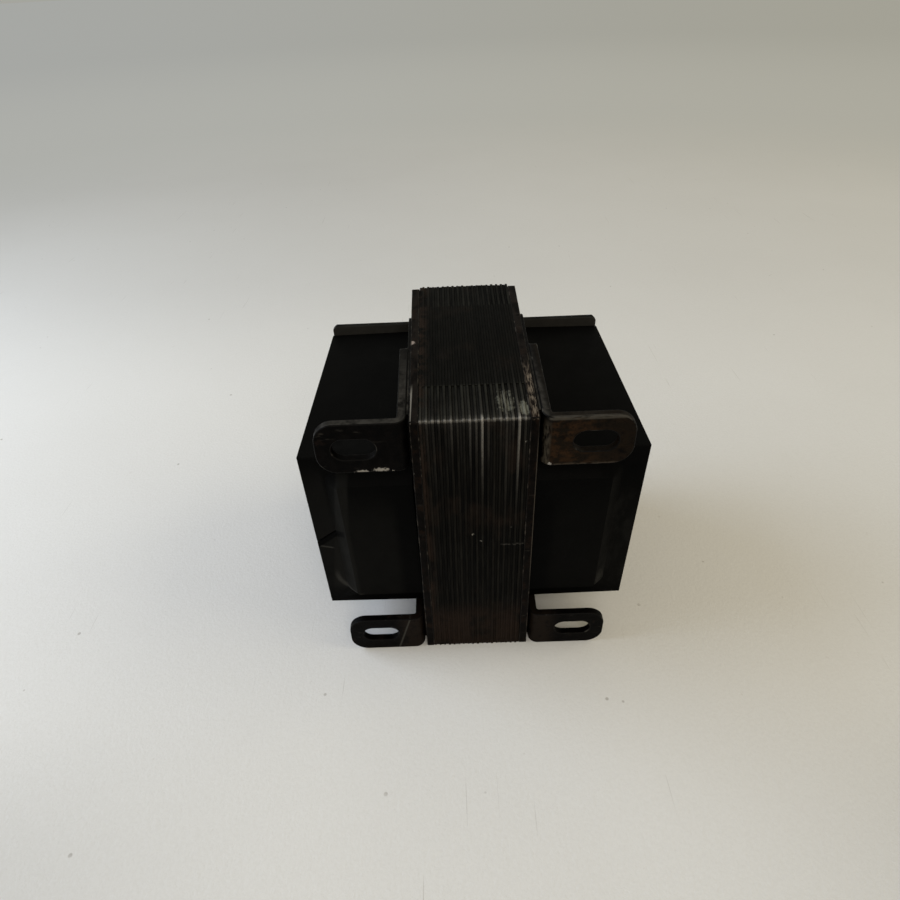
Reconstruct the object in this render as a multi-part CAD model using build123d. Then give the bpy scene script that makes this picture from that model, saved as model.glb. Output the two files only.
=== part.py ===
from build123d import *
import os

# Control transformer, foot-mounted, standing on one edge of its laminations.
# X runs through the stack, +Y points from the mounting feet to the terminals, and Z is up.
# Y is measured from the front face of the core until the last step, which centres the part.

# Core laminations
core_height = 76.2
core_depth = 63.5
leg_count = 6               # outer legs that fit in the height, of which the centre leg takes two
sheet = 0.635               # thickness of one lamination
layers = 36                 # each lamination faces the other way than its neighbours
end_plate = 2.0             # steel frame on each side of the stack
end_plate_short = 1.3       # how far the end plates stop before the back of the core

# Mounting feet
foot_steel = 1.9
foot_gap = 0.3              # between a foot's leg and the coil cover
foot_proud = 0.2            # the feet stand this far in front of the core
foot_bend = 0.6             # inside radius of the bend
foot_land = 3.45            # steel left between a slot and the tip of its foot
foot_tip_radius = 4.5
foot_leg = 31.3             # from the mounting plane to the end of the leg beside the core
leg_end_radius = 2.5
slot_spacing = 50.8         # between the slots of the left and right feet
slot_length = 9.5
slot_width = 5.2
strip_steel = 0.6           # thin strip between a foot's leg and the end plate
strip_inset = 0.2
strip_start = 3.0
strip_end = 49.0
strip_corner = 5.0
weld_size = 1.5
weld_inset = 1.7

# Coil on the centre leg
bobbin_slack = 0.35         # between the centre leg and the bobbin
bobbin_wall = 1.2
bobbin_corner = 1.0
flange_gap = 0.3            # between a bobbin flange and the yoke
flange_thick = 1.2
flange_lip = 0.7            # how far a flange stands past the wound coil
flange_corner = 4.0
coil_ratio = 0.7175         # part of the space above the bobbin that the wound coil fills
primary_ratio = 0.5         # parts of the wound coil, from the bobbin outwards
insulation_ratio = 0.075
secondary_ratio = 0.35
bulge_ratio = 1.4           # the coil is this much thicker beside the core than inside its window
wedge_gap = 0.15
wedge_end_gap = 2.05        # between a wedge and the yoke
wedge_width = 18.0
wedge_tip_ratio = 0.6       # thickness of a wedge's thin end against its thick end

# Moulded coil covers
cover_gap = 0.3             # between a cover and the end plate
cover_front = 6.0
cover_reach = 38.7          # from the middle of the stack to a cover's outer face at the front
cover_narrowing = 0.7       # the outer face lies this much further in at the back
cover_draft = 0.4           # the outer edge is this much lower and higher than the inner one
cover_wall = 2.0
cover_edge = 0.4
pad_height = 3.0            # raised pad on the front of a cover, over the coil's end turns
pad_side_rim = 5.2          # flat rim left beside the pad
pad_end_rim = 3.6           # rim left below and above the pad
pad_slope = 45
pad_corner = 4.0
nick_width = 0.5            # cut across the rim of the left cover
nick_depth = 0.9
nick_drop = 2.6             # from the middle of the cover down to the cut's outer end
nick_climb = 4.6            # how much higher its inner end is
resin_gap = 0.1

# Terminal boards and terminals
board_thick = 1.7
board_lip = 2.4             # the board stands past the cover's top and bottom
board_inset = 0.2           # its outer edge lies inside the cover's
board_chamfer = 1.0
primary_terminals = 4       # on the left board
secondary_terminals = 2     # on the right board
terminal_pitch = 11.0
seat_height = 1.5
seat_width = 16.0
barrier_height = 3.6
barrier_thick = 1.2
plate_size = 8.6
plate_corner = 0.8
plate_thick = 1.0
insert_width = 6.4          # across the flats of its hexagon
insert_length = 6.0
insert_gap = 0.05
screw_radius = 2.05
screw_length = 7.0
screw_head_radius = 3.9
screw_head_height = 2.0
screw_slot = 1.1
screw_slot_depth = 1.0
thread_gap = 0.05
wire_radius = 0.8
wire_sides = 6
wire_bend = 1.6

# How far a cutting shape runs past the faces it cuts
margin = 1.0

# Sizes that follow from the values above
middle = core_height / 2
outer_leg = core_height / leg_count
yoke = outer_leg
stack_half = layers * sheet / 2
core_half = stack_half + end_plate
leg_face = core_half + strip_steel
foot_width = outer_leg - foot_gap
foot_reach = slot_spacing / 2 + slot_length / 2 + foot_land
leg_low = middle - outer_leg
leg_high = middle + outer_leg
upper_leg = core_height - outer_leg
cover_face = core_half + cover_gap
cover_back = core_depth - board_thick
seat_y = core_depth + seat_height
insert_front = seat_y - insert_length
tube_x = stack_half + bobbin_slack + bobbin_wall
tube_z = outer_leg + bobbin_slack + bobbin_wall
coil_build = (middle - tube_z - outer_leg) * coil_ratio
primary_build = coil_build * primary_ratio
insulation_build = primary_build + coil_build * insulation_ratio
secondary_build = insulation_build + coil_build * secondary_ratio
coil_front = yoke + flange_gap
coil_back = core_depth - yoke - flange_gap
flange_x = tube_x + coil_build * bulge_ratio + flange_lip
flange_z = tube_z + coil_build + flange_lip
board_outer = cover_reach - cover_narrowing - board_inset
terminal_reach = (cover_face + board_outer) / 2
wire_reach = tube_x + coil_build * bulge_ratio / 2
depth_front = -foot_proud
depth_back = seat_y + barrier_height


def rectangle(a0, a1, b0, b1):
    """Flat rectangle between two pairs of limits."""
    return Pos((a0 + a1) / 2, (b0 + b1) / 2) * Rectangle(a1 - a0, b1 - b0)


def along_x(outline, x0, x1):
    """Solid from an outline drawn in Y and Z."""
    return extrude(Plane.YZ.offset(x0) * outline, x1 - x0)


def along_y(outline, y0, y1):
    """Solid from an outline drawn in X and Z."""
    return extrude(Plane.XZ.offset(-y1) * outline, y1 - y0)


def along_z(outline, z0, z1):
    """Solid from an outline drawn in X and Y."""
    return extrude(Plane.XY.offset(z0) * outline, z1 - z0)


def both_sides(shapes):
    """The shapes and their mirror images on the other side of the stack."""
    return shapes + [mirror(shape, about=Plane.YZ) for shape in shapes]


def e_outline():
    """E lamination with its yoke at the front: three legs, the middle one twice as wide."""
    leg_end = core_depth - yoke
    whole = rectangle(0, leg_end, 0, core_height)
    lower_window = rectangle(yoke, leg_end, outer_leg, leg_low)
    upper_window = rectangle(yoke, leg_end, leg_high, upper_leg)
    return whole - lower_window - upper_window


def i_outline():
    """I lamination, which closes the open end of an E."""
    return rectangle(core_depth - yoke, core_depth, 0, core_height)


def turned(outline):
    """The same lamination with its front and back swapped."""
    return Pos(core_depth, core_height) * Rot(Z=180) * outline


def laminations(outline, first):
    """Every second lamination of the stack, starting at number first."""
    starts = [-stack_half + sheet * index for index in range(first, layers, 2)]
    return [along_x(outline, x, x + sheet) for x in starts]


def right_end_plate():
    """Steel frame on the right side of the stack, with one window for the coil."""
    frame = rectangle(0, core_depth - end_plate_short, 0, core_height)
    window = rectangle(yoke, core_depth - yoke, outer_leg, upper_leg)
    return along_x(frame - window, stack_half, core_half)


def lower_right_foot():
    """Bent steel foot: a leg along the core, and a slotted tab on the mounting plane."""
    front = -foot_proud
    back = front + foot_leg
    inner_x = leg_face + foot_steel
    inner_y = front + foot_steel
    section = rectangle(leg_face, foot_reach, front, back) - rectangle(inner_x, foot_reach, inner_y, back)
    section = fillet(section.vertices().sort_by_distance((leg_face, front))[0], foot_bend + foot_steel)
    section = fillet(section.vertices().sort_by_distance((inner_x, inner_y))[0], foot_bend)
    foot = along_z(section, 0, foot_width)
    tips = foot.edges().filter_by(Axis.Y).group_by(Axis.X)[-1]
    foot = fillet(tips, foot_tip_radius)
    leg_tips = foot.edges().filter_by(Axis.X).group_by(Axis.Y)[-1]
    foot = fillet(leg_tips, leg_end_radius)
    slot = Pos(slot_spacing / 2, outer_leg / 2) * SlotOverall(slot_length, slot_width)
    return foot - along_y(slot, front - margin, inner_y + margin)


def lower_right_strip():
    """Thin steel strip between the foot's leg and the end plate, with a rounded free corner."""
    side = rectangle(strip_start, strip_end, strip_inset, foot_width - strip_inset)
    strip = along_x(side, core_half, leg_face)
    free_corners = strip.edges().filter_by(Axis.X).group_by(Axis.Y)[-1]
    return fillet(free_corners, strip_corner)


def lower_right_weld():
    """Quarter-round weld bead where the leg ends on its strip."""
    bead = Circle(weld_size) & rectangle(0, weld_size, 0, weld_size)
    return along_z(Pos(leg_face, foot_leg - foot_proud) * bead, weld_inset, foot_width - weld_inset)


def upper(shape):
    """The same piece at the top of the core."""
    return mirror(shape, about=Plane.XY.offset(middle))


def coil_outline(build):
    """Rounded rectangle around the bobbin tube, thicker beside the core than in its window."""
    corner = bobbin_corner + build
    outline = RectangleRounded(2 * (tube_x + build * bulge_ratio), 2 * (tube_z + build), corner)
    return Pos(0, middle) * outline


def coil_layer(inner_build, outer_build):
    """One winding or one layer of insulation, between the bobbin's flanges."""
    ring = coil_outline(outer_build) - coil_outline(inner_build)
    return along_y(ring, coil_front + flange_thick, coil_back - flange_thick)


def bobbin():
    """Moulded coil former: a tube over the centre leg with a flange at each end."""
    bore = rectangle(-tube_x + bobbin_wall, tube_x - bobbin_wall,
                     middle - tube_z + bobbin_wall, middle + tube_z - bobbin_wall)
    tube = along_y(coil_outline(0), coil_front, coil_back)
    flange = Pos(0, middle) * RectangleRounded(2 * flange_x, 2 * flange_z, flange_corner)
    front = along_y(flange, coil_front, coil_front + flange_thick)
    back = along_y(flange, coil_back - flange_thick, coil_back)
    return tube + front + back - along_y(bore, coil_front - margin, coil_back + margin)


def lower_wedge():
    """Fibre wedge that holds the coil tight in the window."""
    low = outer_leg + wedge_gap
    high = middle - tube_z - coil_build - wedge_gap
    tip = low + (high - low) * wedge_tip_ratio
    start = yoke + wedge_end_gap
    end = core_depth - yoke - wedge_end_gap
    side = Polygon((start, low), (end, low), (end, tip), (start, high), align=None)
    return along_x(side, -wedge_width / 2, wedge_width / 2)


def cover_body(inset, front, back):
    """Right cover's outer form, drawn in by an inset, with its drafted top, bottom and side."""
    low = outer_leg + inset
    high = upper_leg - inset
    outline = Polygon((cover_face, low), (cover_reach, low + cover_draft), (cover_reach, high - cover_draft),
                      (cover_face, high), align=None)
    fall = cover_narrowing / (cover_back - cover_front)
    side = Plane(origin=(cover_reach - inset, cover_front, 0), x_dir=(-fall, 1, 0), z_dir=(1, fall, 0))
    return split(along_y(outline, front, back), bisect_by=side, keep=Keep.BOTTOM)


def cover_pad():
    """Raised pad with sloping sides on the front of the right cover, open towards the core."""
    reach = cover_reach - pad_side_rim
    height = upper_leg - outer_leg - 2 * pad_end_rim
    base = Pos(0, middle) * RectangleRounded(2 * reach, height, pad_corner)
    pad = extrude(Plane.XZ.offset(-cover_front) * base, pad_height, taper=pad_slope)
    return pad & along_y(rectangle(cover_face, cover_reach, 0, core_height), 0, cover_front)


def right_cover():
    """Moulded cover: a tray that is open towards the core and at its back."""
    body = cover_body(0, cover_front, cover_back)
    rim = body.edges().filter_by(Axis.Z).group_by(Axis.X)[-1] + body.faces().sort_by(Axis.Y)[0].edges()
    outer = fillet(rim.filter_by(lambda edge: edge.center().X > cover_face + cover_edge), cover_edge)
    hollow = cover_body(cover_wall, cover_front + cover_wall, cover_back + margin)
    return outer + cover_pad() - hollow


def left_cover():
    """The other cover, with the cut that crosses its rim."""
    outer = -cover_reach - margin
    inner = pad_side_rim - cover_reach
    low = middle - nick_drop
    high = low + nick_climb
    outline = Polygon((outer, low), (inner, high), (inner, high + nick_width), (outer, low + nick_width),
                      align=None)
    cut = along_y(outline, cover_front - margin, cover_front + nick_depth)
    return mirror(right_cover(), about=Plane.YZ) - cut


def right_resin():
    """Cast resin that fills the cover around the coil."""
    fill = cover_body(cover_wall + resin_gap, cover_front + cover_wall + resin_gap, coil_back)
    coil = Pos(0, middle) * Rectangle(2 * (flange_x + resin_gap), 2 * (flange_z + resin_gap))
    return fill - along_y(coil, coil_front - resin_gap, core_depth)


def terminal_heights(count):
    """Heights of the terminals on a board with that many of them."""
    lowest = middle - terminal_pitch * (count - 1) / 2
    return [lowest + terminal_pitch * index for index in range(count)]


def at_terminals(shape, count):
    """One copy of a shape at each terminal of a board on the right, drawn for height zero."""
    return [Pos(terminal_reach, 0, z) * shape for z in terminal_heights(count)]


def on_both_boards(shape):
    """Copies of a shape at the terminals of the primary board and of the secondary board."""
    primary = [mirror(copy, about=Plane.YZ) for copy in at_terminals(shape, primary_terminals)]
    return primary + at_terminals(shape, secondary_terminals)


def board_on_right(count):
    """Moulded terminal board with a raised seat, and a barrier beside each terminal."""
    face = rectangle(cover_face, board_outer, outer_leg - board_lip, upper_leg + board_lip)
    board = along_y(face, cover_back, core_depth)
    corners = board.edges().filter_by(Axis.Y).group_by(Axis.X)[-1]
    board = chamfer(corners, board_chamfer)
    near = terminal_reach - seat_width / 2
    far = terminal_reach + seat_width / 2
    first = terminal_heights(count)[0] - terminal_pitch / 2
    board += along_y(rectangle(near, far, first, first + terminal_pitch * count), core_depth, seat_y)
    for index in range(count + 1):
        z = first + terminal_pitch * index
        barrier = rectangle(near, far, z - barrier_thick / 2, z + barrier_thick / 2)
        board += along_y(barrier, core_depth, depth_back)
    hole = along_y(hexagon(insert_width + 2 * insert_gap), cover_back - margin, seat_y + margin)
    for copy in at_terminals(hole, count):
        board -= copy
    return board


def hexagon(width):
    """Hexagon of that width across its flats."""
    return RegularPolygon(width / 2, 6, major_radius=False)


def insert():
    """Hexagonal brass insert that a terminal screw threads into."""
    tube = hexagon(insert_width) - Circle(screw_radius + thread_gap)
    return along_y(tube, insert_front, seat_y)


def terminal_plate():
    """Square plate that clamps a wire under its screw."""
    square = Rectangle(plate_size, plate_size)
    plate = chamfer(square.vertices(), plate_corner) - Circle(screw_radius + thread_gap)
    return along_y(plate, seat_y, seat_y + plate_thick)


def terminal_screw():
    """Slotted screw with a flat round head."""
    seat = seat_y + plate_thick
    top = seat + screw_head_height
    head = along_y(Circle(screw_head_radius), seat, top)
    slot = Rectangle(2 * (screw_head_radius + margin), screw_slot)
    shank = along_y(Circle(screw_radius), seat - screw_length, seat)
    return head + shank - along_y(slot, top - screw_slot_depth, top + margin)


def lead(z):
    """Insulated wire from the coil's back flange to a terminal insert, with two soft bends."""
    start = coil_back
    turn = (start + insert_front) / 2
    path = FilletPolyline((wire_reach, start, z), (wire_reach, turn, z),
                          (terminal_reach, turn, z), (terminal_reach, insert_front, z),
                          radius=wire_bend)
    return sweep(Plane(path @ 0, z_dir=path % 0) * RegularPolygon(wire_radius, wire_sides), path=path)


def model():
    """Every piece of the transformer, as a list of solids for each name."""
    foot = lower_right_foot()
    strip = lower_right_strip()
    weld = lower_right_weld()
    primary_leads = [lead(z) for z in terminal_heights(primary_terminals)]
    secondary_leads = [lead(z) for z in terminal_heights(secondary_terminals)]
    return {
        "e_laminations_front": laminations(e_outline(), 0),
        "i_laminations_back": laminations(i_outline(), 0),
        "e_laminations_back": laminations(turned(e_outline()), 1),
        "i_laminations_front": laminations(turned(i_outline()), 1),
        "right_end_plate": [right_end_plate()],
        "left_end_plate": [mirror(right_end_plate(), about=Plane.YZ)],
        "lower_right_foot": [foot],
        "upper_right_foot": [upper(foot)],
        "lower_left_foot": [mirror(foot, about=Plane.YZ)],
        "upper_left_foot": [mirror(upper(foot), about=Plane.YZ)],
        "foot_strips": both_sides([strip, upper(strip)]),
        "foot_welds": both_sides([weld, upper(weld)]),
        "bobbin": [bobbin()],
        "primary_winding": [coil_layer(0, primary_build)],
        "winding_insulation": [coil_layer(primary_build, insulation_build)],
        "secondary_winding": [coil_layer(insulation_build, secondary_build)],
        "outer_wrap": [coil_layer(secondary_build, coil_build)],
        "coil_wedges": [lower_wedge(), upper(lower_wedge())],
        "right_coil_cover": [right_cover()],
        "left_coil_cover": [left_cover()],
        "right_resin_fill": [right_resin()],
        "left_resin_fill": [mirror(right_resin(), about=Plane.YZ)],
        "right_terminal_board": [board_on_right(secondary_terminals)],
        "left_terminal_board": [mirror(board_on_right(primary_terminals), about=Plane.YZ)],
        "terminal_inserts": on_both_boards(insert()),
        "terminal_plates": on_both_boards(terminal_plate()),
        "terminal_screws": on_both_boards(terminal_screw()),
        "secondary_leads": secondary_leads,
        "primary_leads": [mirror(wire, about=Plane.YZ) for wire in primary_leads],
    }


os.makedirs("parts", exist_ok=True)
centring = Pos(0, -(depth_front + depth_back) / 2, 0)
for name, shapes in model().items():
    solids = [centring * solid for shape in shapes for solid in shape.solids()]
    export_step(solids[0] if len(solids) == 1 else Compound(solids), f"parts/{name}.step")
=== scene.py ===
import math
import random

import bmesh
import bpy
from mathutils import Matrix, Vector, noise


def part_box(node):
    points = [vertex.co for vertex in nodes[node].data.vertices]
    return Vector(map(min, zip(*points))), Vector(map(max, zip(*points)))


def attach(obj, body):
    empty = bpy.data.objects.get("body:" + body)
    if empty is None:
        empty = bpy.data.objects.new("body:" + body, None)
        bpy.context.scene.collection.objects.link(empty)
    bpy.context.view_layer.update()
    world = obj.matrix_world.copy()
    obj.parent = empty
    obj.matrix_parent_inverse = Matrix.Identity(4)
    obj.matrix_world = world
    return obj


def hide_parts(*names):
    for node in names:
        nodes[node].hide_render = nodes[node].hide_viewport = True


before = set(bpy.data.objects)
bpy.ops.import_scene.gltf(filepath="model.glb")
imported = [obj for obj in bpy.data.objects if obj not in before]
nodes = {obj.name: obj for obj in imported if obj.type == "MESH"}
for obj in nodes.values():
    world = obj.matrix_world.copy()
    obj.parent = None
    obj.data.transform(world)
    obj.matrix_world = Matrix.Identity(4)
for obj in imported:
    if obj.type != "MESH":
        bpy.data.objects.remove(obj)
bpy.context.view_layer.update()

MM = 0.001

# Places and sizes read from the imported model, in millimetres
core_low, core_high = (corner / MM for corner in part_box("e_laminations_front"))
back_low, back_high = (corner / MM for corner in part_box("e_laminations_back"))
feet_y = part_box("upper_left_foot")[0].y / MM
front_y = core_low.y
back_y = back_high.y
depth = back_y - front_y
height = core_high.z
unit = back_low.y - core_low.y
front_joint = front_y + unit
back_joint = back_y - unit
stack_half = back_high.x
sheet = back_low.x - core_low.x
layers = round(2 * stack_half / sheet)

# The stack is pressed together at the front of its top and opens towards its back, as shares of its width
FRONT_TOP, FRONT_BOTTOM, BACK = -0.035, 0.010, 0.060

# How far the cut edges of sheets lie inside the outline, drawn for each sheet, in millimetres. The uneven cut
# and the bend come from noise that differs from sheet to sheet by its drift.
CLOSER_INSET = (0.16, 0.30)
LEG_INSET = (0.0, 0.12)
BOTTOM_INSET = (0.0, 0.06)
BACK_INSET = (0.0, 0.08)
JOINT_GAP = 0.08
RAGGED_CUT, CUT_DRIFT, CUT_PER_MM = 0.05, 3.1, 0.35
SIDEWAYS_BEND, BEND_ACROSS_PER_MM, BEND_ALONG_PER_MM = 0.07, 0.7, 0.045

# How dark each sheet's varnish is, and how much that varies along it
LEG_TONE = (0.35, 0.9)
CLOSER_TONE = (0.05, 0.3)
TONE_VARIES, TONE_DRIFT, TONE_PER_MM = 0.5, 5.3, 0.12

# Points along a sheet's outline: their usual distance, and those close to a corner, in millimetres
EDGE_STEP = 2.0
CORNER_STEPS = (0.35, 0.8)
ON_OUTLINE = 0.01

# The profile runs across one cut edge: its place in the sheet, how far it lies back there in millimetres,
# and how readily it rubs bright
EDGE_PROFILE = ((0.0, 0.11, 0.15), (0.06, 0.03, 0.25), (0.25, 0.0, 0.6), (0.60, 0.0, 1.25), (0.94, 0.03, 0.9),
                (1.0, 0.11, 0.3))

# Sheets with rubbed edges: how much at the front, how far down in millimetres, and how much on top
RUBBED = {2: (0.04, 9, 0.0), 6: (0.02, 14, 0.0), 10: (0.10, 6, 0.0), 12: (0.04, 5, 0.0), 16: (0.15, 8, 0.02),
          18: (0.12, 7, 0.0), 20: (0.50, 11, 0.0), 22: (0.07, 9, 0.0), 26: (0.03, 9, 0.07),
          28: (0.05, 20, 0.16), 30: (0.06, 6, 0.10), 32: (0.42, 13, 0.20), 34: (0.04, 8, 0.12)}
OTHER_RUBBING = (0.0, 0.03)
OTHER_REACH = (3, 20)

# Wear at the front corner of the top and along the top: how much, and how far it reaches in millimetres
CORNER_WEAR, CORNER_REACH = 0.62, 0.42
TOP_WEAR, TOP_SHARE, TOP_REACH = 0.04, 0.15, 7
RUBBED_TOP_REACH = 6
FRONT_FACE = 0.8
TOP_FACE = 0.5

# Rounded edges: the angle in degrees from which an edge counts as sharp, and which material a rounding takes
SHARP_ANGLE = 25
SHEET_SHARP_ANGLE = 50
WELD_SHARP_ANGLE = 60
OWN_MATERIAL, SECOND_MATERIAL = -1, 1

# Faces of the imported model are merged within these: millimetres, and degrees between flat faces
SAME_POINT = 0.002
SAME_FACE = 0.5

# Weld beads: cuts along each edge, uneven lumps and the ripples along the bead, in millimetres
WELD_SEED = 15
WELD_CUTS = 5
LUMPS_PER_MM, LUMP_HEIGHT = 0.9, 0.22
RIPPLE_HEIGHT, RIPPLE_RATE = 0.10, 4.2


# Materials. Colours are linear.

# Sockets of a Mix node for colours
COLOUR_A, COLOUR_B, COLOUR_OUT = 6, 7, 2

# Noise: how a shift is shared between the axes, and how rough it is
NOISE_SHIFT = (1.0, 0.7, 1.3)
NOISE_ROUGHNESS = 0.6

# Cut edges of the sheets
SHEET_DARK, SHEET_TONED = (0.0010, 0.0009, 0.0007), (0.0068, 0.0060, 0.0046)
SHEET_STREAKS = (0.0135, 0.0125, 0.0100)
# The top colour is painted shade on the upward faces; the film is dust
SHEET_TOP_SHADE, SHEET_FILM = (0.0010, 0.0010, 0.0006), (0.034, 0.035, 0.028)
SHEET_RUST = (0.0095, 0.0056, 0.0038), (0.0260, 0.0165, 0.0112)
BARE_STEEL = (0.10, 0.094, 0.083), (0.56, 0.53, 0.48)
SHEET_DUST, SHEET_SPECKS, SHEET_LINE = (0.26, 0.26, 0.21), (0.22, 0.21, 0.19), (0.060, 0.056, 0.050)

# Frames and feet
SCUFFS = (0.040, 0.036, 0.030)
FRAME_TOP, FRAME_CORNER, FRAME_STREAKS = (0.0130, 0.0100, 0.0080), (0.24, 0.225, 0.20), (0.190, 0.155, 0.118)
FRAME_CHIP, FRAME_WELDS = (0.26, 0.25, 0.23), (0.30, 0.25, 0.22)
TAB_BROWN, TAB_RUST, TAB_SPECKLE = (0.0090, 0.0062, 0.0038), (0.040, 0.0195, 0.0082), (0.0030, 0.0016, 0.0012)
LEG_SIDE, LOW_TAB, FOOT_TOP = (0.080, 0.068, 0.050), (0.0125, 0.0085, 0.0060), (0.044, 0.041, 0.036)
FRONT_LINE, LOWER_LIP = (0.090, 0.082, 0.068), (0.060, 0.048, 0.036)
FOOT_SCRATCH, FOOT_CHIPS = (0.055, 0.052, 0.046), (0.30, 0.28, 0.25)

# Dust on the mouldings is slightly warm
DUST_TINT = (1.0, 0.97, 0.87)

# Winding wire
WIRE_DARK, WIRE_BRIGHT = (0.16, 0.05, 0.02), (0.62, 0.28, 0.13)

# Floor, and the painted glow the camera sees instead of it far away, to the left and to the right
TABLE_PALE = (0.80, 0.79, 0.765), (0.83, 0.822, 0.80)
TABLE_GRAIN, TABLE_FLECKS, TABLE_MARKS = (0.62, 0.60, 0.57), (0.45, 0.40, 0.34), (0.30, 0.27, 0.23)
NEAR_PAINTED_GLOW = (0.423, 0.429, 0.405), (0.416, 0.402, 0.340)
FAR_PAINTED_GLOW = (0.385, 0.393, 0.378), (0.368, 0.356, 0.298)


def times(colour, factor):
    """The colour made darker or paler."""
    return tuple(channel * factor for channel in colour)


class Paint:
    """One procedural material. Its positions are millimetres in the row frame."""

    def __init__(self, name, metallic=0.0, specular=0.5):
        self.material = bpy.data.materials.new(name)
        self.material.use_nodes = True
        self.tree = self.material.node_tree
        self.shader = self.tree.nodes["Principled BSDF"]
        self.shader.inputs["Metallic"].default_value = metallic
        self.shader.inputs["Specular IOR Level"].default_value = specular
        place = self.add("ShaderNodeTexCoord").outputs["Object"]
        scaled = self.add("ShaderNodeVectorMath", {0: place, "Scale": 1 / MM}, operation="SCALE")
        self.place = scaled.outputs[0]
        split = self.add("ShaderNodeSeparateXYZ", {0: self.place})
        self.x, self.y, self.z = split.outputs

    def add(self, kind, inputs=None, **settings):
        node = self.tree.nodes.new(kind)
        for key, value in settings.items():
            setattr(node, key, value)
        for key, value in (inputs or {}).items():
            if isinstance(value, bpy.types.NodeSocket):
                self.tree.links.new(value, node.inputs[key])
            else:
                node.inputs[key].default_value = value
        return node

    def math(self, operation, a, b=0.0):
        return self.add("ShaderNodeMath", {0: a, 1: b}, operation=operation).outputs[0]

    def all_of(self, operation, values):
        result = values[0]
        for value in values[1:]:
            result = self.math(operation, result, value)
        return result

    def most(self, *values):
        return self.all_of("MAXIMUM", values)

    def product(self, *values):
        return self.all_of("MULTIPLY", values)

    def total(self, *values):
        return self.all_of("ADD", values)

    def ramp(self, value, slope, start):
        """0 at the start, growing by slope from there."""
        return self.product(self.math("SUBTRACT", value, start), slope)

    def length(self, a, b):
        return self.math("SQRT", self.total(self.product(a, a), self.product(b, b)))

    def spread(self, value, low, high):
        """A 0 to 1 value mapped to a range."""
        node = self.add("ShaderNodeMapRange", {"Value": value, "To Min": low, "To Max": high})
        return node.outputs["Result"]

    def band(self, value, low, high):
        """0 up to low, 1 from high, smooth between them. It falls where high is below low."""
        flip = high < low
        node = self.add("ShaderNodeMapRange",
                        {"Value": value, "From Min": min(low, high), "From Max": max(low, high),
                         "To Min": float(flip), "To Max": float(not flip)},
                        interpolation_type="SMOOTHSTEP")
        return node.outputs["Result"]

    def between(self, value, low, low_full, high_full, high):
        """1 between the two inner places, 0 outside the outer ones."""
        return self.product(self.band(value, low, low_full), self.band(value, high, high_full))

    def line(self, value, place, outer, inner):
        """1 closer than inner to a place, 0 farther from it than outer."""
        return self.band(self.math("ABSOLUTE", self.math("SUBTRACT", value, place)), outer, inner)

    def noise(self, size, stretch=(1, 1, 1), detail=3.0, shift=0.0):
        """Soft noise with features of that size, longer by stretch along each axis."""
        placed = self.add("ShaderNodeMapping",
                          {"Vector": self.place, "Scale": tuple(1 / (size * s) for s in stretch),
                           "Location": times(NOISE_SHIFT, shift)})
        node = self.add("ShaderNodeTexNoise", {"Vector": placed.outputs[0], "Scale": 1.0, "Detail": detail,
                                               "Roughness": NOISE_ROUGHNESS})
        return node.outputs["Fac"]

    def cells(self, size):
        """Distance to the nearest of many scattered points, in shares of that size."""
        placed = self.add("ShaderNodeMapping", {"Vector": self.place, "Scale": (1 / size,) * 3})
        node = self.add("ShaderNodeTexVoronoi", {"Vector": placed.outputs[0], "Scale": 1.0})
        return node.outputs["Distance"]

    def spot(self, centre, radius, ragged=0.5, stretch=(1, 1, 1)):
        """1 inside a ragged patch around a point, 0 outside it."""
        away = self.add("ShaderNodeVectorMath", {0: self.place, 1: tuple(centre)}, operation="SUBTRACT")
        sized = self.add("ShaderNodeVectorMath",
                         {0: away.outputs[0], 1: tuple(1 / (radius * s) for s in stretch)},
                         operation="MULTIPLY")
        length = self.add("ShaderNodeVectorMath", {0: sized.outputs[0]}, operation="LENGTH").outputs["Value"]
        rough = self.ramp(self.noise(radius * 0.5), ragged * 2, 0.5)
        return self.band(self.total(length, rough), 1.0, 0.55)

    def mix(self, share, a, b):
        """Colour a where share is 0, colour b where it is 1."""
        node = self.add("ShaderNodeMix", {0: share}, data_type="RGBA")
        for index, value in ((COLOUR_A, a), (COLOUR_B, b)):
            if isinstance(value, bpy.types.NodeSocket):
                self.tree.links.new(value, node.inputs[index])
            else:
                node.inputs[index].default_value = (*value, 1.0)
        return node.outputs[COLOUR_OUT]

    def attribute(self, name):
        return self.add("ShaderNodeAttribute", attribute_name=name).outputs["Fac"]

    def facing(self, axis):
        """How far the surface faces along one axis of the row frame, -1 to 1."""
        normal = self.add("ShaderNodeNewGeometry").outputs["Normal"]
        return self.add("ShaderNodeSeparateXYZ", {0: normal}).outputs[axis]

    def finish(self, colour, rough, bump, relief):
        """Links colour, roughness and a bump of that relief in millimetres."""
        links = self.tree.links
        links.new(colour, self.shader.inputs["Base Color"])
        links.new(rough, self.shader.inputs["Roughness"])
        node = self.add("ShaderNodeBump", {"Height": bump, "Distance": relief * MM, "Strength": 1.0})
        links.new(node.outputs[0], self.shader.inputs["Normal"])
        return self.material


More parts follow.
